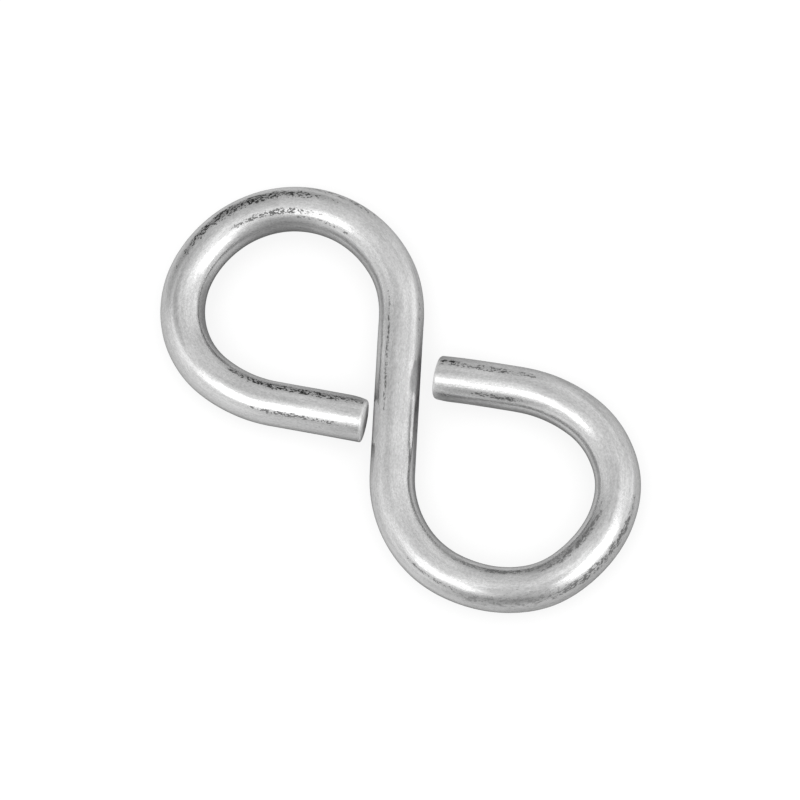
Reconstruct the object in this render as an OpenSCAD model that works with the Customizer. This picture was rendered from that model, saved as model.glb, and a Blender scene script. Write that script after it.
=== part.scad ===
// Closed S hook: one length of round wire bent into two eyes on a short straight shank.
// Units are millimetres. The hook lies flat, with its underside on the floor plane.
// Origin: middle of the shank at floor level. +Y is the load line towards the upper eye, +Z is up.

/* [Wire] */
// Diameter of the round wire
wire_d = 4.5; // [3.5:0.1:6]

/* [Shank] */
// Straight length between the two eyes
shank_length = 15.5; // [8:0.5:30]

/* [Eye bends] */
// Inside radius of the first bend, over the crown that carries the load
crown_inside_r = 9; // [6:0.1:14]
// Turn of the crown bend, in degrees
crown_turn = 153.5; // [140:0.5:165]
// Inside radius of the second bend, round the side of the eye
side_inside_r = 6.7; // [4:0.1:8]
// Turn of the side bend, in degrees
side_turn = 80; // [70:0.5:90]
// Inside radius of the last bend, which brings the leg in towards the shank
closing_inside_r = 12; // [8:0.1:18]
// Turn of the closing bend, in degrees
closing_turn = 28; // [18:0.5:36]

/* [Closing gaps] */
// Gap left between the upper leg's sheared end and the shank
upper_gap = 0.85; // [0.2:0.05:4]
// Gap left between the lower leg's sheared end and the shank
lower_gap = 1.7; // [0.2:0.05:4]

/* [Sheared ends] */
// Edge radius round the sheared face
end_edge_r = 0.2; // [0.1:0.05:0.5]
// Length of the roll-over where the shear blade entered, on the eye's side
roll_over_length = 1.8; // [1:0.1:2.5]
// Depth of the roll-over at the sheared face
roll_over_depth = 0.22; // [0.12:0.05:0.42]

/* [Hidden] */
$fn = 96;

wire_r = wire_d / 2;
half_shank = shank_length / 2;
half_turn = 180;
quarter_turn = 90;

// Radii of the bends at the middle of the wire
crown_r = crown_inside_r + wire_r;
side_r = side_inside_r + wire_r;
closing_r = closing_inside_r + wire_r;

// Angle round its own centre at which each bend starts, with the shank along +X
crown_from = -quarter_turn;
side_from = crown_from + crown_turn;
closing_from = side_from + side_turn;
leg_from = closing_from + closing_turn;

// Each bend's centre lies on the line through the last centre and the joint, so the bends are tangent
function along(angle) = [cos(angle), sin(angle)];
crown_centre = [half_shank, crown_r];
side_centre = crown_centre + (crown_r - side_r) * along(side_from);
closing_centre = side_centre + (side_r - closing_r) * along(closing_from);
leg_start = closing_centre + closing_r * along(leg_from);
leg_heading = leg_from + quarter_turn;

// The leg runs straight at the shank and stops short of its surface by the gap
function leg_length(gap) = (leg_start.y - wire_r - gap) / -sin(leg_heading);

// The roll-over's round runs from the wire's surface to the sheared face. It is this much flatter than
// the round that would be tangent to the surface, so that the two cross at a slight angle.
flatter = 1.2;
roll_over_chord = norm([roll_over_length, roll_over_depth]);
roll_over_angle = atan2(roll_over_depth, roll_over_length);
roll_over_r = flatter * roll_over_chord * roll_over_chord / (2 * roll_over_depth);
// Distance from the middle of the chord to the centre of the round
roll_over_height = sqrt(roll_over_r * roll_over_r - roll_over_chord * roll_over_chord / 4);

// The load line passes through both crown centres
load_heading = atan2(crown_centre.y, crown_centre.x);

// A place or a turn is given as a rounded step and then the small rest, so that the faces where two
// bends join lie on one plane to far less than a micron.
fine = 0.001;
figures = 6;
function rounded(v) = round(v / fine) * fine;
function six_digits(v) =
    let (unit = pow(10, floor(log(abs(v))) + 1 - figures))
    abs(v) < fine * fine ? 0 : round(v / unit) * unit;
function held_turn(a) = atan2(six_digits(sin(a)), six_digits(cos(a)));
function short_turn(a) = a - 2 * half_turn * round(a / (2 * half_turn));

module placed(at) {
    translate([rounded(at.x), rounded(at.y), 0])
        translate([at.x - rounded(at.x), at.y - rounded(at.y), 0])
            children();
}

module headed(angle) {
    rotate([0, 0, angle])
        rotate([0, 0, short_turn(angle - held_turn(angle))])
            children();
}

// One bend: the wire's section turned round the bend's centre
module bend(centre, radius, from, turn) {
    placed(centre)
        rotate_extrude(angle = turn, start = from)
            translate([radius, 0])
                circle(r = wire_r);
}

// A straight stretch along +X, with the seam on the side away from the bend's centre
module along_x() {
    rotate([-quarter_turn, 0, 0])
        rotate([0, quarter_turn, 0])
            children();
}

// Half section of the leg with its softened end edge
module leg_profile(length) {
    square([wire_r, length - end_edge_r]);
    square([wire_r - end_edge_r, length]);
    translate([wire_r - end_edge_r, length - end_edge_r])
        circle(r = end_edge_r);
}

// The shear blade's corner: everything outside the roll-over's round on the eye's side of the end
module shear_corner(length) {
    chord_middle = [length - roll_over_length / 2, wire_r - roll_over_depth / 2];
    centre = chord_middle - roll_over_height * [sin(roll_over_angle), cos(roll_over_angle)];
    translate([centre.x, centre.y, -wire_d])
        difference() {
            cube([wire_d, 2 * roll_over_r, 2 * wire_d]);
            cylinder(r = roll_over_r, h = 2 * wire_d);
        }
}

// The closing leg: straight wire from the last bend to its sheared end
module leg(gap) {
    length = leg_length(gap);
    placed(leg_start)
        headed(leg_heading)
            difference() {
                along_x()
                    rotate_extrude()
                        leg_profile(length);
                shear_corner(length);
            }
}

// One eye: three tangent bends and the closing leg
module eye(gap) {
    bend(crown_centre, crown_r, crown_from, crown_turn);
    bend(side_centre, side_r, side_from, side_turn);
    bend(closing_centre, closing_r, closing_from, closing_turn);
    leg(gap);
}

module shank() {
    translate([-half_shank, 0, 0])
        along_x()
            cylinder(r = wire_r, h = shank_length);
}

// The whole hook, turned so that the load line is +Y and laid on the floor plane
module s_hook() {
    color("silver")
        translate([0, 0, wire_r])
            rotate([0, 0, quarter_turn - load_heading]) {
                shank();
                eye(upper_gap);
                rotate([0, 0, half_turn])
                    eye(lower_gap);
            }
}

s_hook();
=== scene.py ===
"""Dresses a closed S hook: one length of round zinc plated wire, sheared and bent cold into two eyes."""

from __future__ import annotations

import logging
import math
from dataclasses import dataclass, field
from enum import Enum

import bpy
import numpy as np
from mathutils import Matrix, Vector


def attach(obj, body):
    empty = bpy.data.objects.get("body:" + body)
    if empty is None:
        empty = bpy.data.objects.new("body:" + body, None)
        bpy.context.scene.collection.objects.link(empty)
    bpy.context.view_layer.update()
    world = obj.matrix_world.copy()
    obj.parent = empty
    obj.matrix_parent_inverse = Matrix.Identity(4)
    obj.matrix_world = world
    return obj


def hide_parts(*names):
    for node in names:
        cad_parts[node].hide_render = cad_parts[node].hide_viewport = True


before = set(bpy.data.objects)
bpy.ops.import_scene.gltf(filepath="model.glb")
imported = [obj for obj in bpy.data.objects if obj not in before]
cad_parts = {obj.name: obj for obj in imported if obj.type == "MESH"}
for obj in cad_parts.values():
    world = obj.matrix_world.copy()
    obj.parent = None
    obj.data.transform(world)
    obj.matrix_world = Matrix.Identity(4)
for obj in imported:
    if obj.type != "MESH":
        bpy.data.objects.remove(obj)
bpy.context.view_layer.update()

LOG = logging.getLogger("s_hook")
MM = 0.001

Socket = bpy.types.NodeSocket
Colour = tuple[float, float, float]


class End(Enum):
    """The wire's two sheared ends, as the sign of the run from the middle of the shank."""

    LOWER = -1
    UPPER = 1


class Mark(Enum):
    """What the plating's look is made up of: patterns that run all over it, the wire's wear together with
    painted dark reflections and shade, and its cuts.
    """

    CLOUDS = "clouds"
    FLECKS = "flecks"
    FINE = "fine grain"
    LINES = "draw lines"
    BANDS = "bands"
    TEARS = "tears"
    # Dark flecks: real scuff marks and painted dark reflections together
    SCUFFS_AND_REFLECTIONS = "scuffs_and_reflections"
    # Dimmed plating: real dull plating and painted shade together
    DULL_AND_SHADED = "dull_and_shaded"
    CUT = "cut"


@dataclass(frozen=True)
class Bend:
    """One bend of the wire, by its inside radius in metres and its turn in degrees."""

    inside_r: float
    turn: float


@dataclass(frozen=True)
class WearAndShade:
    """A darkened stretch of the plating, real wear and painted dark reflection and shade together, by its
    middle and half size along the wire (mm) and round it (degrees).

    The cover is how much of it the dark flecks take up, the depth is how dark they are, and the last number
    is how much the plating between them is dimmed and roughened, for dull plating and painted shade alike.
    """

    run: float
    side: float
    half_run: float
    half_side: float
    cover: float = 0.0
    depth: float = 0.0
    dull_and_shaded: float = 0.0


@dataclass(frozen=True)
class Bow:
    """A stretch where bending left the wire aside of its pure line, in metres, left is positive."""

    run: float
    half_run: float
    aside: float


@dataclass(frozen=True)
class Score:
    """A shallow score pressed along the wire, by its middle and half size (mm, degrees) and depth (m).

    It falls away gently on the side of the smaller angles, over the ease times its half size, and rises
    steeply on the other.
    """

    run: float
    side: float
    half_run: float
    half_side: float
    depth: float
    ease: float = 3.5


@dataclass
class Centreline:
    """The middle line of the wire: a straight shank, with three tangent bends and a leg to each side.

    The run is measured from the middle of the shank, negative towards the lower end. The lower half is the
    upper half turned by half a turn, so a place at run -s is minus the place at run s, with the same heading.
    """

    wire_r: float = 2.25 * MM
    shank: float = 15.5 * MM
    bends: tuple[Bend, ...] = (Bend(9.0 * MM, 153.5), Bend(6.7 * MM, 80.0), Bend(12.0 * MM, 28.0))
    gaps: dict[End, float] = field(default_factory=lambda: {End.UPPER: 0.85 * MM, End.LOWER: 1.7 * MM})
    bows: tuple[Bow, ...] = (
        Bow(-43.0 * MM, 2.5 * MM, 0.09 * MM),
        Bow(-30.0 * MM, 3.0 * MM, 0.16 * MM),
        Bow(-22.0 * MM, 3.2 * MM, -0.11 * MM),
        Bow(12.0 * MM, 2.8 * MM, -0.08 * MM),
        Bow(36.5 * MM, 7.5 * MM, 0.10 * MM),
    )

    def __post_init__(self) -> None:
        """Works out the joints between the stretches: the run, the heading and the place of each."""
        radii = np.array([bend.inside_r + self.wire_r for bend in self.bends])
        turns = np.radians([bend.turn for bend in self.bends])
        lengths = np.concatenate([[self.shank / 2], radii * turns])
        # The load line, from one crown's centre to the other, is +Y
        start = math.pi / 2 - math.atan2(radii[0], self.shank / 2)
        self.joint_run = np.concatenate([[0.0], np.cumsum(lengths)])
        self.joint_heading = start + np.concatenate([[0.0, 0.0], np.cumsum(turns)])
        step = self.chord(lengths, np.diff(self.joint_heading), self.joint_heading[:-1])
        self.joint_place = np.vstack([[0.0, 0.0], np.cumsum(step, axis=0)])
        across = np.array([-math.sin(start), math.cos(start)])
        rise = float(self.joint_place[-1] @ across)
        dive = -math.sin(self.joint_heading[-1] - start)
        clear = rise - self.wire_r
        self.ends = {
            end: float(self.joint_run[-1] + (clear - gap) / dive) for end, gap in self.gaps.items()
        }

    @staticmethod
    def chord(length: np.ndarray, turn: np.ndarray, heading: np.ndarray) -> np.ndarray:
        """The straight step from the start of an arc to its end.

        A chord is the arc's length times sin(turn / 2) / (turn / 2), and it heads half the turn past the
        arc's first heading. An arc with no turn is a straight line.

        Args:
            length: Arc lengths in metres.
            turn: Turns in radians, left is positive.
            heading: Headings at the start, in radians from +X.

        Returns:
            One row of x and y for each arc.
        """
        reach = length * np.sinc(turn / (2 * math.pi))
        middle = heading + turn / 2
        return np.stack([reach * np.cos(middle), reach * np.sin(middle)], axis=-1)

    def follow(self, run: np.ndarray) -> tuple[np.ndarray, np.ndarray]:
        """Places on the line.

        Args:
            run: Runs from the middle of the shank, in metres.

        Returns:
            The places as rows of x and y, and the headings in radians.
        """
        far = np.abs(run)
        past_both_ends = 1.0
        knots = np.append(self.joint_run, past_both_ends)
        headings = np.append(self.joint_heading, self.joint_heading[-1])
        heading = np.interp(far, knots, headings)
        part = np.clip(np.searchsorted(knots, far, side="right") - 1, 0, len(self.joint_run) - 1)
        step = self.chord(far - knots[part], heading - headings[part], headings[part])
        return np.sign(run)[:, None] * (self.joint_place[part] + step), heading

    def bowed(self, run: np.ndarray) -> np.ndarray:
        """How far the wire lies to the left of its pure line: the sum of the bows, each a round bell."""
        return sum(bow.aside * np.exp(-(((run - bow.run) / bow.half_run) ** 2)) for bow in self.bows)


def turn_from(middle: float, side: np.ndarray) -> np.ndarray:
    """How far round the wire a side is from a middle one, in degrees from -180 to 180."""
    return (side - middle + 180) % 360 - 180


@dataclass(frozen=True)
class Waves:
    """A shallow random relief: a sum of cosines whose waves run along and round the wire.

    Each wave has a random number of turns along the wire, a whole number of waves round it, so that the
    relief meets itself at the seam, and a random phase. Long flat waves are the higher ones.
    """

    count: int
    longest: float
    shortest: float
    most_round: int
    seed: int

    def at(self, run: np.ndarray, side: np.ndarray) -> np.ndarray:
        """The relief's height, about one high at most.

        Args:
            run: Runs along the wire in metres, one a row of the grid.
            side: Angles round the wire in radians, one a column.

        Returns:
            Heights on the grid, with a mean of nothing and a spread of about a third.
        """
        draw = np.random.default_rng(self.seed)
        length = np.exp(draw.uniform(math.log(self.shortest), math.log(self.longest), self.count))
        along = 2 * math.pi / length * draw.choice([-1.0, 1.0], self.count)
        round_it = draw.integers(0, self.most_round + 1, self.count)
        phase = draw.uniform(0, 2 * math.pi, self.count)
        share = np.sqrt(length / self.longest)
        share /= np.sqrt(np.sum(share**2) / 2) * 3
        first = np.exp(1j * (run[:, None] * along + phase)) * share
        second = np.exp(1j * side[:, None] * round_it)
        return (first @ second.T).real


@dataclass
class HookWire:
    """The hook itself: round wire swept along its centreline, with sheared ends."""

    line: Centreline = field(default_factory=Centreline)
    rows: int = 620
    columns: int = 144
    edge_rows: int = 5
    cap_rings: int = 16
    edge_r: dict[End, float] = field(default_factory=lambda: {End.UPPER: 0.2 * MM, End.LOWER: 0.3 * MM})
    roll_over_length: float = 1.8 * MM
    roll_over_depth: float = 0.22 * MM
    lean: dict[End, float] = field(default_factory=lambda: {End.UPPER: 0.12 * MM, End.LOWER: 0.04 * MM})
    drag: dict[End, float] = field(default_factory=lambda: {End.UPPER: -0.05 * MM, End.LOWER: 0.30 * MM})
    drag_reach: float = 3.3 * MM
    torn: float = 0.8
    waviness: float = 0.007 * MM
    waves: Waves = Waves(count=160, longest=16 * MM, shortest=1.6 * MM, most_round=5, seed=11)
    line_depth: float = 0.003 * MM
    lines: Waves = Waves(count=160, longest=14 * MM, shortest=3.0 * MM, most_round=40, seed=12)
    # Real scuffing, and painted dark reflection and shade laid where the plating mirrors dark parts of the
    # room
    wear_and_shade: tuple[WearAndShade, ...] = (
        # Upper crown: outer flank, the line over its inner flank, and the inner flank itself
        WearAndShade(30.5, 119.0, 11.0, 20.0, 0.93, 1.0, 0.2),
        WearAndShade(20.5, 148.0, 5.0, 16.0, 0.75, 0.8, 0.35),
        WearAndShade(21.5, 56.0, 5.5, 6.0, 0.85, 0.7, 0.1),
        WearAndShade(27.5, 71.0, 6.5, 11.0, 1.0, 0.8, 0.3),
        WearAndShade(27.0, 28.0, 7.5, 34.0, 0.5, 0.3, 0.75),
        WearAndShade(17.0, 40.0, 8.0, 9.0, 0.4, 0.4, 0.7),
        WearAndShade(44.5, 19.0, 6.5, 11.0, 0.2, 0.3, 0.8),
        WearAndShade(43.5, 99.0, 6.0, 7.0, dull_and_shaded=0.45),
        # Upper leg: both sides of its top
        WearAndShade(59.5, 51.0, 10.5, 14.0, 0.97, 1.0),
        WearAndShade(60.0, 122.0, 7.5, 8.0, 0.95, 0.7),
        # Shank
        WearAndShade(4.0, 65.0, 10.0, 6.0, 0.9, 0.7),
        # Painted contact shade along the shank's right rim
        WearAndShade(-2.0, 166.0, 11.0, 10.0, 0.6, 0.6, 0.8),
        WearAndShade(9.0, 153.0, 5.0, 12.0, 0.7, 0.35, 0.4),
        WearAndShade(0.0, 98.0, 13.0, 18.0, dull_and_shaded=0.3),
        WearAndShade(-6.0, 90.0, 8.0, 12.0, dull_and_shaded=0.25),
        WearAndShade(-16.0, 101.0, 8.0, 12.0, dull_and_shaded=0.32),
        WearAndShade(-26.0, 106.0, 7.0, 10.0, dull_and_shaded=0.3),
        # Lower crown: outer flank, then inner flank
        WearAndShade(-27.0, 46.0, 8.0, 28.0, 0.85, 0.25, 0.25),
        WearAndShade(-28.0, 75.0, 4.5, 15.0, 0.6, 0.25, 0.95),
        WearAndShade(-36.0, 37.0, 7.5, 15.0, 1.0, 0.65, 0.35),
        WearAndShade(-32.5, 43.0, 4.5, 12.0, 0.95, 0.5, 0.45),
        WearAndShade(-28.0, 24.0, 6.0, 14.0, dull_and_shaded=0.3),
        WearAndShade(-28.0, 69.0, 6.0, 8.0, dull_and_shaded=0.25),
        WearAndShade(-19.0, 56.0, 5.0, 6.0, 0.9, 0.6, 0.1),
        WearAndShade(-35.0, 117.0, 7.5, 13.0, 1.0, 0.5, 0.2),
        WearAndShade(-25.0, 131.0, 7.5, 11.0, 1.0, 0.5, 0.25),
        # Lower leg: outer flank, inner flank and the start of its bend
        WearAndShade(-61.0, 58.0, 7.0, 14.0, 0.88, 0.7, 0.15),
        WearAndShade(-64.5, 52.0, 1.6, 12.0, 1.0, 1.0, 0.2),
        WearAndShade(-59.5, 130.0, 4.5, 9.0, 0.95, 0.75, 0.1),
        WearAndShade(-55.5, 168.0, 6.0, 14.0, 0.3, 0.3, 0.8),
        WearAndShade(-47.5, 142.0, 6.5, 8.0, 0.2, 0.2, 0.8),
        WearAndShade(-44.0, 84.0, 9.0, 6.0, dull_and_shaded=0.45),
        WearAndShade(-46.0, 52.0, 8.0, 7.0, dull_and_shaded=0.35),
        WearAndShade(-46.0, 72.0, 9.0, 45.0, dull_and_shaded=0.15),
    )
    scores: tuple[Score, ...] = (Score(-2.1, 144.0, 3.8, 6.5, 0.09 * MM),)

    def grid(self, side: np.ndarray) -> tuple[np.ndarray, np.ndarray, np.ndarray]:
        """The grid of the straight wire, from the lower end's cap along the wire to the upper end's cap.

        An end's edge is a quarter round, and its cap is rings of a falling radius. The shear left the face
        leaning, so the edge and the cap come forward by the lean times the height over the wire's radius.

        Args:
            side: Angles round the wire in radians, one a column.

        Returns:
            The runs and radii on the grid, and for each row how far it is part of a cap, from nothing to one.
        """
        wire_r = self.line.wire_r
        bow = np.radians(np.linspace(0, 90, self.edge_rows + 1))[:, None]
        ring = np.linspace(1, 0, self.cap_rings + 2)[1:-1, None]
        runs, radii, caps = [], [], []
        for end, far in self.line.ends.items():
            edge = self.edge_r[end]
            radius = np.vstack([wire_r - edge * (1 - np.cos(bow)), (wire_r - edge) * ring]) + 0 * side
            back = np.vstack([edge * (1 - np.sin(bow)), 0 * ring])
            share = np.vstack([np.sin(bow) ** 2, 0 * ring + 1])
            ahead = share * self.lean[end] * np.sin(side) * radius / wire_r
            cap = np.concatenate([np.linspace(0, 1, len(bow)), np.ones(len(ring))])
            order = slice(None, None, end.value)
            runs.append((end.value * (far - back + ahead))[order])
            radii.append(radius[order])
            caps.append(cap[order])
        upper, lower = runs
        wire = np.linspace(lower[-1, 0], upper[0, 0], self.rows + 2)[1:-1, None] + 0 * side
        return (
            np.vstack([lower, wire, upper]),
            np.vstack([radii[1], np.full_like(wire, wire_r), radii[0]]),
            np.concatenate([caps[1], np.zeros(self.rows), caps[0]]),
        )

    def rolled_over(self, run: np.ndarray, side: np.ndarray) -> np.ndarray:
        """How far the shear blade rolled the surface in near the ends, on the eye's side.

        It is the depth, times the square of the share of the length that is left to the end's start, times
        the square of the cosine from the eye's side, and nothing on the other side.

        Args:
            run: Runs on the grid, in metres.
            side: Angles round the wire in radians, one a column.

        Returns:
            What comes off the radius at each point, in metres.
        """
        off = np.zeros_like(run)
        for end, far in self.line.ends.items():
            share = np.clip(1 - (far - run * end.value) / self.roll_over_length, 0, 1)
            facing = np.clip(np.cos(side) * end.value, 0, 1)
            off = off + self.roll_over_depth * share**2 * facing**2
        return off

    def dragged(self, run: np.ndarray) -> np.ndarray:
        """How far the legs stray from their straight lines towards the hook's left.

        The drag is towards the eye, and falls off from the end as e to the minus distance over the reach.
        """
        aside = np.zeros_like(run)
        for end, far in self.line.ends.items():
            away = np.maximum(far - run * end.value, 0)
            aside = aside + end.value * self.drag[end] * np.exp(-away / self.drag_reach)
        return aside

    def wear_and_shade_at(self, run: np.ndarray, side: np.ndarray) -> np.ndarray:
        """Wear plus painted shade and dark reflection: the strongest of the stretches, each a flat-topped
        bell on the wire.

        A bell is e to the minus fourth power of the distance from its middle, in half sizes.

        Args:
            run: Runs on the grid, in millimetres.
            side: Angles round the wire on the grid, in degrees.

        Returns:
            The cover, the depth and the dimming at each point, each from nothing to one.
        """
        worn_and_shaded = np.zeros((*np.broadcast(run, side).shape, 3))
        for spot in self.wear_and_shade:
            turn = turn_from(spot.side, side)
            away = np.hypot((run - spot.run) / spot.half_run, turn / spot.half_side)
            marks = np.array([spot.cover, spot.depth, spot.dull_and_shaded])
            worn_and_shaded = np.maximum(worn_and_shaded, np.exp(-(away[..., None] ** 4)) * marks)
        return worn_and_shaded

    def scored(self, run: np.ndarray, side: np.ndarray) -> np.ndarray:
        """How deep the scores cut: each a flat-topped bell along the wire, lopsided across it.

        Args:
            run: Runs on the grid, in millimetres.
            side: Angles round the wire on the grid, in degrees.

        Returns:
            What comes off the radius at each point, in metres.
        """
        off = np.zeros(np.broadcast(run, side).shape)
        for score in self.scores:
            turn = turn_from(score.side, side)
            along = np.exp(-(((run - score.run) / score.half_run) ** 4))
            reach = score.half_side * np.where(turn < 0, score.ease, 1.0)
            off += score.depth * along * np.exp(-((turn / reach) ** 2))
        return off

    def build(self) -> bpy.types.Object:
        """Sweeps the round section along the centreline and closes both ends.

        A point is the centreline's place, moved aside by the bows and the drag, plus the radius times cos of
        the side's angle to the left and sin of it upwards. The relief, the roll-over and the scores come off
        the radius first.

        Returns:
            The wire as one closed mesh.
        """
        side = np.linspace(0, 2 * math.pi, self.columns, endpoint=False)
        runs, radii, caps = self.grid(side)
        middle = runs[:, 0]
        wavy = 1 - np.clip(self.waves.at(middle, side), -1, 1)
        lined = 1 - np.clip(self.lines.at(middle, side), -1, 1)
        relief = self.waviness * wavy + self.line_depth * lined
        ridge = radii / self.line.wire_r
        rolled = self.rolled_over(runs, side)
        radius = radii - relief * (1 - caps[:, None]) - rolled * ridge
        radius -= self.scored(runs / MM, np.degrees(side)) * (1 - caps[:, None])
        grid = np.stack([runs, radius * np.cos(side), radius * np.sin(side)], axis=-1).reshape(-1, 3)
        poles = np.array([[-self.line.ends[End.LOWER], 0, 0], [self.line.ends[End.UPPER], 0, 0]])
        straight = np.vstack([grid, poles])
        place, heading = self.line.follow(straight[:, 0])
        left = np.stack([-np.sin(heading), np.cos(heading)], axis=-1)
        aside = straight[:, 1] + self.dragged(straight[:, 0]) + self.line.bowed(straight[:, 0])
        flat = place + aside[:, None] * left
        points = np.column_stack([flat, straight[:, 2] + self.line.wire_r])
        mesh = bpy.data.meshes.new("s_hook_wire")
        mesh.from_pydata(points.tolist(), [], self.faces(len(runs)))
        self.mark(mesh, "wire", straight / MM)
        # Real wear together with painted dark reflection and shade, kept for the material
        worn_and_shaded = self.wear_and_shade_at(runs / MM, np.degrees(side)) * (1 - caps[:, None, None])
        self.mark(mesh, "worn_and_shaded", np.vstack([worn_and_shaded.reshape(-1, 3), np.zeros((2, 3))]))
        torn = np.maximum(caps[:, None], self.torn * rolled / self.roll_over_depth)
        cut = np.append(torn.ravel(), [1, 1])
        self.mark(mesh, "cut", np.repeat(cut[:, None], 3, axis=1))
        mesh.shade_smooth()
        mesh.validate()
        piece = bpy.data.objects.new("s_hook_wire", mesh)
        bpy.context.scene.collection.objects.link(piece)
        return piece

    def faces(self, rows: int) -> list[list[int]]:
        """The wire's faces: quads between one row and the next, and a fan round each end's pole.

        Args:
            rows: How many rows the grid has.

        Returns:
            Each face's corners, in an order that points it outwards.
        """
        columns = self.columns
        this = np.arange(columns)
        after = (this + 1) % columns
        start = np.arange(rows - 1)[:, None] * columns
        quads = np.stack(
            [start + this, start + after, start + columns + after, start + columns + this], axis=-1
        ).reshape(-1, 4)
        last = (rows - 1) * columns
        low = np.stack([np.full(columns, rows * columns), after, this], axis=-1)
        high = np.stack([np.full(columns, rows * columns + 1), last + this, last + after], axis=-1)
        return quads.tolist() + low.tolist() + high.tolist()

    @staticmethod
    def mark(mesh: bpy.types.Mesh, name: str, values: np.ndarray) -> None:
        """Keeps three numbers for each point of the mesh, for its material to read.

        Args:
            mesh: The mesh.
            name: The attribute's name.
            values: The numbers, a row for each point.
        """
        attribute = mesh.attributes.new(name, "FLOAT_VECTOR", "POINT")
        attribute.data.foreach_set("vector", values.astype(np.float32).ravel())


@dataclass(frozen=True)
class Noise:
    """A noise pattern on the wire: its stretch along, across and up, then its scale, detail and roughness."""

    stretch: tuple[float, float, float]
    scale: float
    detail: float
    roughness: float


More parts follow.
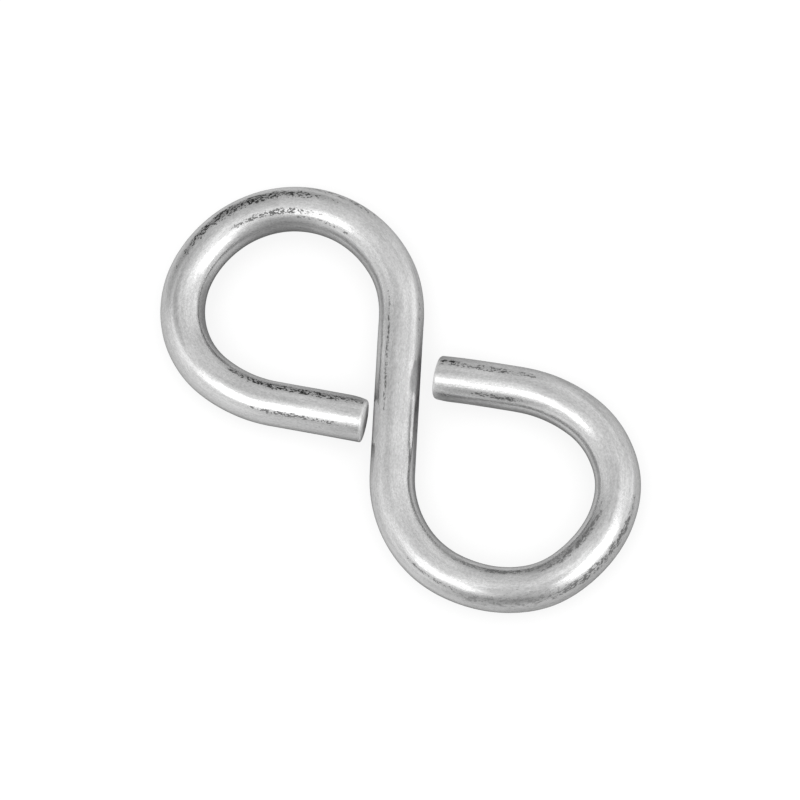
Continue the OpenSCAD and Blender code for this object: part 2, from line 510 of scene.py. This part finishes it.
@dataclass(frozen=True)
class ZincPlate:
    """Bright zinc plating on drawn wire: pale, satin and mottled, with real scuff marks and painted dark
    reflections.

    Dull places, which are partly wear and partly painted shade, are rougher too, and torn metal at the cuts
    has no gloss. A quality such as the tint is a start plus each mark times its weight, and the patterns lie
    evenly about nothing.

    The dark flecks, scuff marks and painted dark reflections in one, stand where the grain passes the bare
    level, which full cover brings down by the drop. Their darkness runs from the faintest share to one, with
    the depth of the stretch.
    """

    pale: Colour = (0.93, 0.93, 0.93)
    dull: Colour = (0.44, 0.44, 0.44)
    # Colour of the dark flecks, for scuff marks and painted dark reflections alike
    scuffed_and_reflected: Colour = (0.045, 0.045, 0.045)
    patterns: dict[Mark, Noise] = field(
        default_factory=lambda: {
            Mark.CLOUDS: Noise((0.22, 1.0, 1.0), 0.8, 3.0, 0.6),
            Mark.FLECKS: Noise((0.55, 1.0, 1.0), 3.0, 0.5, 0.5),
            Mark.FINE: Noise((0.55, 1.0, 1.0), 6.5, 1.5, 0.65),
            Mark.LINES: Noise((0.05, 1.0, 1.0), 3.0, 3.0, 0.6),
            Mark.BANDS: Noise((0.04, 1.0, 1.0), 0.8, 1.0, 0.5),
            Mark.TEARS: Noise((1.0, 0.25, 1.6), 3.0, 4.0, 0.65),
        }
    )
    tint_start: float = 0.5
    tint_top: float = 0.76
    tint: dict[Mark, float] = field(
        default_factory=lambda: {
            Mark.CLOUDS: 0.8,
            Mark.FINE: 0.7,
            Mark.LINES: 0.3,
            Mark.BANDS: 0.9,
            Mark.DULL_AND_SHADED: -0.55,
            Mark.CUT: 0.2,
        }
    )
    cloud_span: tuple[float, float] = (-0.15, 0.15)
    gloss_span: tuple[float, float] = (0.30, 0.18)
    roughness: dict[Mark, float] = field(
        default_factory=lambda: {Mark.SCUFFS_AND_REFLECTIONS: 0.2, Mark.DULL_AND_SHADED: 0.14, Mark.CUT: 0.28}
    )
    relief: float = 0.045 * MM
    height: dict[Mark, float] = field(
        default_factory=lambda: {
            Mark.FLECKS: 0.16,
            Mark.LINES: 0.22,
            Mark.FINE: 0.13,
            Mark.SCUFFS_AND_REFLECTIONS: -0.1,
            Mark.CUT: 0.75,
            Mark.TEARS: 1.5,
        }
    )
    specular: float = 0.5
    fleck_share: float = 0.4
    bare_level: float = 0.37
    level_drop: float = 0.45
    fleck_sharpness: float = 12.0
    faintest: float = 0.25

    def material(self) -> bpy.types.Material:
        """Makes the plating from the wire's own coordinates, in millimetres along and across the wire.

        Returns:
            The material.
        """
        made = bpy.data.materials.new("zinc_plate")
        made.use_nodes = True
        sheet = Sheet(made.node_tree)
        wire = sheet.attribute("wire")
        marks = {mark: sheet.noise(wire, pattern) for mark, pattern in self.patterns.items()}
        cover, depth, marks[Mark.DULL_AND_SHADED] = sheet.parts(sheet.attribute("worn_and_shaded"))
        cut = marks[Mark.CUT] = sheet.parts(sheet.attribute("cut"))[0]
        marks[Mark.TEARS] = sheet.math("MULTIPLY", cut, marks[Mark.TEARS])
        # Dark flecks: scuff marks and painted dark reflections
        marks[Mark.SCUFFS_AND_REFLECTIONS] = self.scuffs_and_reflections(sheet, marks, cover, depth)
        tint = sheet.blend(self.tint_start, marks, self.tint)
        tone = sheet.ramp(tint, ((0.0, self.dull), (self.tint_top, self.pale)))
        gloss = sheet.range(marks[Mark.CLOUDS], self.cloud_span, self.gloss_span)
        bump = sheet.node("ShaderNodeBump", Strength=1.0, Distance=self.relief)
        sheet.join(sheet.blend(0.0, marks, self.height), bump.inputs["Height"])
        metal = sheet.math("SUBTRACT", 1.0, cut)
        feeds = {
            "Metallic": metal,
            "Specular IOR Level": sheet.math("MULTIPLY", metal, self.specular),
            "Base Color": sheet.mix(marks[Mark.SCUFFS_AND_REFLECTIONS], tone, self.scuffed_and_reflected),
            "Roughness": sheet.blend(gloss, marks, self.roughness),
            "Normal": bump.outputs["Normal"],
        }
        for name, source in feeds.items():
            sheet.join(source, sheet.shader.inputs[name])
        return made

    def scuffs_and_reflections(self, sheet: Sheet, marks: dict[Mark, Socket], cover: Socket, depth: Socket) -> Socket:
        """The dark flecks, scuff marks and painted dark reflections together: they stand where the grain
        passes a level that the cover brings down.

        Args:
            sheet: The material's nodes.
            marks: The patterns so far.
            cover: How much of the place the flecks take up.
            depth: How dark they are.

        Returns:
            How dark each place is, from nothing to one.
        """
        grain = sheet.math("MULTIPLY_ADD", marks[Mark.FLECKS], self.fleck_share, marks[Mark.FINE])
        level = sheet.math("MULTIPLY_ADD", cover, -self.level_drop, self.bare_level)
        above = sheet.math("SUBTRACT", grain, level)
        stands = sheet.math("MULTIPLY", above, self.fleck_sharpness, clamp=True)
        darkness = sheet.math("MULTIPLY_ADD", depth, 1 - self.faintest, self.faintest)
        return sheet.math("MULTIPLY", stands, darkness)


@dataclass
class Sheet:
    """A short way to lay out a material's nodes."""

    # Where a colour mix keeps the colour below, the colour above and the mixed one
    MIX_BASE, MIX_OVER, MIX_RESULT = 6, 7, 2

    tree: bpy.types.NodeTree

    @property
    def shader(self) -> bpy.types.Node:
        """The material's main shader."""
        return next(node for node in self.tree.nodes if node.type == "BSDF_PRINCIPLED")

    def node(self, kind: str, **values: float) -> bpy.types.Node:
        """Adds a node.

        Args:
            kind: The node's type name.
            values: Values for its inputs, by name.

        Returns:
            The node.
        """
        made = self.tree.nodes.new(kind)
        for name, value in values.items():
            made.inputs[name].default_value = value
        return made

    def join(self, source: Socket | float, socket: Socket) -> None:
        """Feeds a socket from another one, or sets it to a number."""
        if isinstance(source, Socket):
            self.tree.links.new(source, socket)
        else:
            socket.default_value = source

    def attribute(self, name: str) -> Socket:
        """Reads one of the mesh's attributes."""
        made = self.node("ShaderNodeAttribute")
        made.attribute_name = name
        return made.outputs["Vector"]

    def parts(self, source: Socket) -> tuple[Socket, ...]:
        """Takes a vector apart into its three numbers."""
        made = self.node("ShaderNodeSeparateXYZ")
        self.join(source, made.inputs[0])
        return tuple(made.outputs)

    def noise(self, place: Socket, pattern: Noise) -> Socket:
        """Adds a noise pattern on a place, evenly about nothing, drawn out where its stretch is small."""
        drawn_out = self.node("ShaderNodeVectorMath")
        drawn_out.operation = "MULTIPLY"
        self.join(place, drawn_out.inputs[0])
        drawn_out.inputs[1].default_value = pattern.stretch
        made = self.node(
            "ShaderNodeTexNoise", Scale=pattern.scale, Detail=pattern.detail, Roughness=pattern.roughness
        )
        self.join(drawn_out.outputs[0], made.inputs["Vector"])
        return self.math("SUBTRACT", made.outputs["Fac"], 0.5)

    def blend(self, start: Socket | float, marks: dict[Mark, Socket], weights: dict[Mark, float]) -> Socket:
        """Adds to a start each mark times its weight.

        Args:
            start: A socket or a number.
            marks: Each mark's socket.
            weights: The weights of the marks that count.

        Returns:
            The sum's socket.
        """
        total = start
        for mark, weight in weights.items():
            total = self.math("MULTIPLY_ADD", marks[mark], weight, total)
        return total

    def math(self, kind: str, *sources: Socket | float, clamp: bool = False) -> Socket:
        """Adds a sum of one to three sources.

        Args:
            kind: Blender's name for the operation.
            sources: Sockets or numbers.
            clamp: Whether the result is held between nothing and one.

        Returns:
            The result's socket.
        """
        made = self.node("ShaderNodeMath")
        made.operation = kind
        made.use_clamp = clamp
        for socket, source in zip(made.inputs, sources):
            self.join(source, socket)
        return made.outputs[0]

    def range(self, source: Socket, old: tuple[float, float], new: tuple[float, float]) -> Socket:
        """Turns values between one pair of limits into values between another pair, held there."""
        made = self.node("ShaderNodeMapRange")
        for name, value in zip(("From Min", "From Max", "To Min", "To Max"), (*old, *new)):
            made.inputs[name].default_value = value
        self.join(source, made.inputs["Value"])
        return made.outputs["Result"]

    def ramp(self, source: Socket, stops: tuple[tuple[float, Colour], tuple[float, Colour]]) -> Socket:
        """Turns a value into a colour that runs from one stop to the other."""
        made = self.node("ShaderNodeValToRGB")
        first, last = made.color_ramp.elements
        (first.position, low), (last.position, high) = stops
        first.color = (*low, 1.0)
        last.color = (*high, 1.0)
        self.join(source, made.inputs["Fac"])
        return made.outputs["Color"]

    def mix(self, share: Socket, base: Socket, over: Colour) -> Socket:
        """Lays a plain colour over another by a share."""
        made = self.node("ShaderNodeMix")
        made.data_type = "RGBA"
        self.join(share, made.inputs["Factor"])
        self.join(base, made.inputs[self.MIX_BASE])
        made.inputs[self.MIX_OVER].default_value = (*over, 1.0)
        return made.outputs[self.MIX_RESULT]


@dataclass(frozen=True)
class Softbox:
    """A rectangular soft light: where it stands as the view shows it, its distance, its size and its glow.

    The compass runs from the view's right (0 degrees) towards its top (90), and the tilt is measured from
    straight above the hook. The glow is the light's radiance.
    """

    name: str
    compass: float
    tilt: float
    distance: float
    width: float
    height: float
    glow: float


@dataclass(frozen=True)
class Glow:
    """A round patch of the room: where it stands, how wide it spreads in degrees, and what it adds.

    The gain is a share of the room's even glow, below nothing where the room is darker.
    """

    compass: float
    tilt: float
    spread: float
    gain: float


@dataclass
class Studio:
    """A pale table top under soft lights, and the camera that looks down on the hook."""

    table_size: float = 6.0
    table_cells: int = 8
    table_colour: Colour = (0.66, 0.66, 0.66)
    table_shaded: Colour = (0.16, 0.16, 0.16)
    table_rough: float = 0.9
    table_specular: float = 0.1
    shade_reach: float = 8 * MM
    shade_span: tuple[float, float] = (0.45, 0.92)
    shade_samples: int = 16
    table_glow: float = 1.28
    table_lit: float = 0.7
    room_glow: float = 0.74
    room_darkest: float = 0.05
    patches: tuple[Glow, ...] = (
        Glow(-150.0, 20.0, 22.0, 0.28),
        Glow(-32.0, 13.0, 22.0, 0.58),
        Glow(5.0, 42.0, 22.0, 0.30),
        Glow(-36.0, 74.0, 13.0, 0.35),
        Glow(-178.0, 52.0, 20.0, 0.22),
        Glow(-105.0, 16.0, 14.0, -0.32),
        Glow(75.0, 15.0, 26.0, -0.15),
        Glow(150.0, 34.0, 18.0, -0.20),
        Glow(8.0, 82.0, 20.0, 0.32),
        Glow(125.0, 84.0, 23.0, -0.50),
        Glow(95.0, 85.0, 22.0, -0.30),
        Glow(155.0, 70.0, 16.0, -0.20),
        Glow(-92.0, 66.0, 23.0, -0.62),
    )
    view_compass: float = -57.116
    view_tilt: float = 14.6497
    view_turn: float = 53.029
    distance: float = 380.07 * MM
    lens: float = 172.71
    film: float = 36.0
    shift: tuple[float, float] = (0.00395, -0.0041)
    softboxes: tuple[Softbox, ...] = (
        Softbox("key", -36.0, 46.0, 0.9, 0.50, 0.62, 1.2),
        Softbox("fill", -134.0, 32.0, 0.9, 0.42, 0.50, 1.0),
    )

    def toward(self, compass: float, tilt: float) -> Vector:
        """The direction with a compass and a tilt, both in degrees, as the view shows them."""
        turn = math.radians(compass - self.view_turn)
        lean = math.radians(tilt)
        return Vector((math.cos(turn) * math.sin(lean), math.sin(turn) * math.sin(lean), math.cos(lean)))

    def table(self) -> bpy.types.Object:
        """Lays the table top: a flat grid on the floor plane, x and y being the grid's own."""
        cells = self.table_cells
        line = np.linspace(-self.table_size / 2, self.table_size / 2, cells + 1)
        x, y = np.meshgrid(line, line)
        points = np.column_stack([x.ravel(), y.ravel(), np.zeros(x.size)])
        corner = (np.arange(cells)[:, None] * (cells + 1) + np.arange(cells)).ravel()
        faces = np.stack([corner, corner + 1, corner + cells + 2, corner + cells + 1], axis=-1)
        mesh = bpy.data.meshes.new("table_top")
        mesh.from_pydata(points.tolist(), [], faces.tolist())
        mesh.materials.append(self.matt_white())
        top = bpy.data.objects.new("table_top", mesh)
        bpy.context.scene.collection.objects.link(top)
        return top

    def matt_white(self) -> bpy.types.Material:
        """Makes the table's surface.

        Its colour carries a painted contact shade, darker where the hook stands close over it, and what the
        camera sees of it directly is partly a plain glow, so that it shows near white and still gives the
        metal a pale grey to mirror.

        Returns:
            The material.
        """
        made = bpy.data.materials.new("matt_white")
        made.use_nodes = True
        sheet = Sheet(made.node_tree)
        matt = sheet.shader
        # Painted contact shade: the colour darkens where the hook occludes the table
        contact = sheet.node("ShaderNodeAmbientOcclusion", Distance=self.shade_reach)
        contact.samples = self.shade_samples
        stops = tuple(zip(self.shade_span, (self.table_shaded, self.table_colour)))
        sheet.join(sheet.ramp(contact.outputs["AO"], stops), matt.inputs["Base Color"])
        matt.inputs["Roughness"].default_value = self.table_rough
        matt.inputs["Specular IOR Level"].default_value = self.table_specular
        lit = sheet.node("ShaderNodeEmission", Strength=self.table_glow)
        seen = sheet.node("ShaderNodeLightPath").outputs["Is Camera Ray"]
        mixed = sheet.node("ShaderNodeMixShader")
        sheet.join(sheet.math("MULTIPLY", seen, self.table_lit), mixed.inputs[0])
        sheet.join(matt.outputs["BSDF"], mixed.inputs[1])
        sheet.join(lit.outputs["Emission"], mixed.inputs[2])
        output = next(node for node in made.node_tree.nodes if node.type == "OUTPUT_MATERIAL")
        sheet.join(mixed.outputs["Shader"], output.inputs["Surface"])
        return made

    def room(self) -> None:
        """Lights the room: an even glow with brighter and darker patches.

        A patch is a bell on the sphere: its gain times e to the power of (cos of the angle from its middle
        less one) over (one less cos of its spread).
        """
        world = bpy.data.worlds.new("studio")
        world.use_nodes = True
        bpy.context.scene.world = world
        sheet = Sheet(world.node_tree)
        back = next(node for node in world.node_tree.nodes if node.type == "BACKGROUND")
        where = sheet.node("ShaderNodeTexCoord").outputs["Generated"]
        total: Socket | float = 1.0
        for patch in self.patches:
            facing = sheet.node("ShaderNodeVectorMath")
            facing.operation = "DOT_PRODUCT"
            sheet.join(where, facing.inputs[0])
            facing.inputs[1].default_value = self.toward(patch.compass, patch.tilt)
            sharpness = 1 / (1 - math.cos(math.radians(patch.spread)))
            power = sheet.math("MULTIPLY_ADD", facing.outputs["Value"], sharpness, -sharpness)
            total = sheet.math("MULTIPLY_ADD", sheet.math("EXPONENT", power), patch.gain, total)
        glow = sheet.math("MULTIPLY", sheet.math("MAXIMUM", total, self.room_darkest), self.room_glow)
        sheet.join(glow, back.inputs["Strength"])
        back.inputs["Color"].default_value = (1.0, 1.0, 1.0, 1.0)

    def light(self, box: Softbox) -> bpy.types.Object:
        """Hangs a softbox that looks at the hook.

        An area light of power P and area A glows with P / (pi A).

        Args:
            box: The softbox.

        Returns:
            The light.
        """
        lamp = bpy.data.lights.new(box.name, "AREA")
        lamp.shape = "RECTANGLE"
        lamp.size = box.width
        lamp.size_y = box.height
        lamp.energy = box.glow * math.pi * box.width * box.height
        made = bpy.data.objects.new(box.name, lamp)
        aim = self.toward(box.compass, box.tilt)
        made.location = aim * box.distance
        made.rotation_euler = aim.to_track_quat("Z", "Y").to_euler()
        bpy.context.scene.collection.objects.link(made)
        return made

    def camera(self, middle: Vector) -> bpy.types.Object:
        """Stands the camera over the hook.

        The view's right and top are the two directions across the line of sight, turned by the view's
        compass, so that straight above the hook leans towards the picture's top left.

        Args:
            middle: The place that the camera looks at.

        Returns:
            The camera.
        """
        back = self.toward(self.view_compass, self.view_tilt)
        level = Vector((-back.y, back.x, 0.0)).normalized()
        over = level.cross(back)
        turn = math.radians(self.view_compass)
        right = over * math.cos(turn) - level * math.sin(turn)
        top = over * math.sin(turn) + level * math.cos(turn)
        data = bpy.data.cameras.new("camera")
        data.lens = self.lens
        data.sensor_width = self.film
        data.shift_x, data.shift_y = self.shift
        made = bpy.data.objects.new("camera", data)
        place = middle + back * self.distance
        made.matrix_world = Matrix.Translation(place) @ Matrix((right, top, back)).transposed().to_4x4()
        bpy.context.scene.collection.objects.link(made)
        bpy.context.scene.camera = made
        return made

    def build(self, middle: Vector) -> None:
        """Sets up the table, the room, the softboxes and the camera."""
        self.table()
        self.room()
        for box in self.softboxes:
            self.light(box)
        self.camera(middle)
        bpy.context.scene.view_settings.view_transform = "Standard"


def main() -> None:
    """Builds the wire, plates it, sets up the studio and reports each piece."""
    logging.basicConfig(level=logging.INFO, format="%(message)s")
    wire = HookWire()
    piece = wire.build()
    piece.data.materials.append(ZincPlate().material())
    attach(piece, "root")
    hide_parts("s_hook")
    LOG.info("%s: %d points, %d faces", piece.name, len(piece.data.vertices), len(piece.data.polygons))
    Studio().build(Vector((0.0, 0.0, wire.line.wire_r)))
    LOG.info("studio: table top, room, softboxes and camera")


if __name__ == "__main__":
    main()
